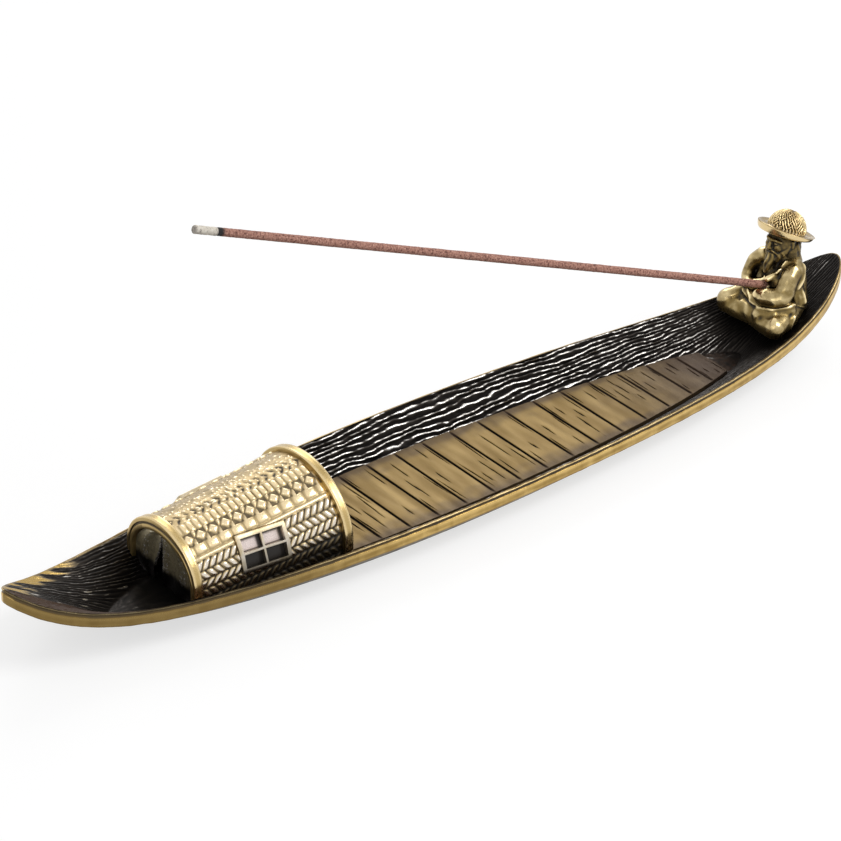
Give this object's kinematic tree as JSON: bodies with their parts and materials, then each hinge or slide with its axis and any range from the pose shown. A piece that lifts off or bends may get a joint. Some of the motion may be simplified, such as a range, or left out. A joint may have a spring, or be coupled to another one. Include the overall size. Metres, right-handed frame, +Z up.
{
  "type": "incense burner",
  "caption": "Boat-shaped stick incense burner: a long cast tray with planked deck, mat cabin and a seated angler whose hands hold the stick.",
  "frame": {"origin": "middle of the part's footprint, on the surface it stands on", "axes": "+X along the boat towards the angler, +Y across it, +Z up"},
  "size_m": [0.238, 0.0448, 0.0887],
  "materials": {
    "dark_patina": "near-black patina over cast metal, worn to gold along the rim band",
    "deck_brass": "satin antique brass with black filled plank joints",
    "mat_brass": "antique brass with a woven mat relief, bright on the high points",
    "bright_brass": "satin antique brass, rubbed bright",
    "pane_enamel": "pale matt enamel, dark below",
    "curtain_brass": "dark speckled antique brass",
    "screw_steel": "plain steel screws",
    "figure_brass": "smooth antique brass with dark recesses",
    "incense_paste": "matt granular reddish-brown incense paste",
    "ash": "matt cream ash over a thin char ring"
  },
  "bodies": {
    "root": {"tray": "dark_patina", "deck_plate": "deck_brass", "cabin_shell": "mat_brass", "front_hoop": "bright_brass", "rear_hoop": "bright_brass", "near_window_frame": "bright_brass", "far_window_frame": "bright_brass", "near_window_panes": "pane_enamel", "far_window_panes": "pane_enamel", "near_curtain": "curtain_brass", "far_curtain": "curtain_brass", "cabin_screws": "screw_steel", "angler": "figure_brass", "straw_hat": "figure_brass", "angler_screw": "screw_steel"},
    "stick": {"incense_stick": "incense_paste", "ash_tip": "ash"}
  },
  "joints": [
    {"name": "stick_slide", "type": "slide", "parent": "root", "child": "stick", "axis": [-0.9212, 0, 0.3891], "range_m": [0, 0.012]}
  ]
}
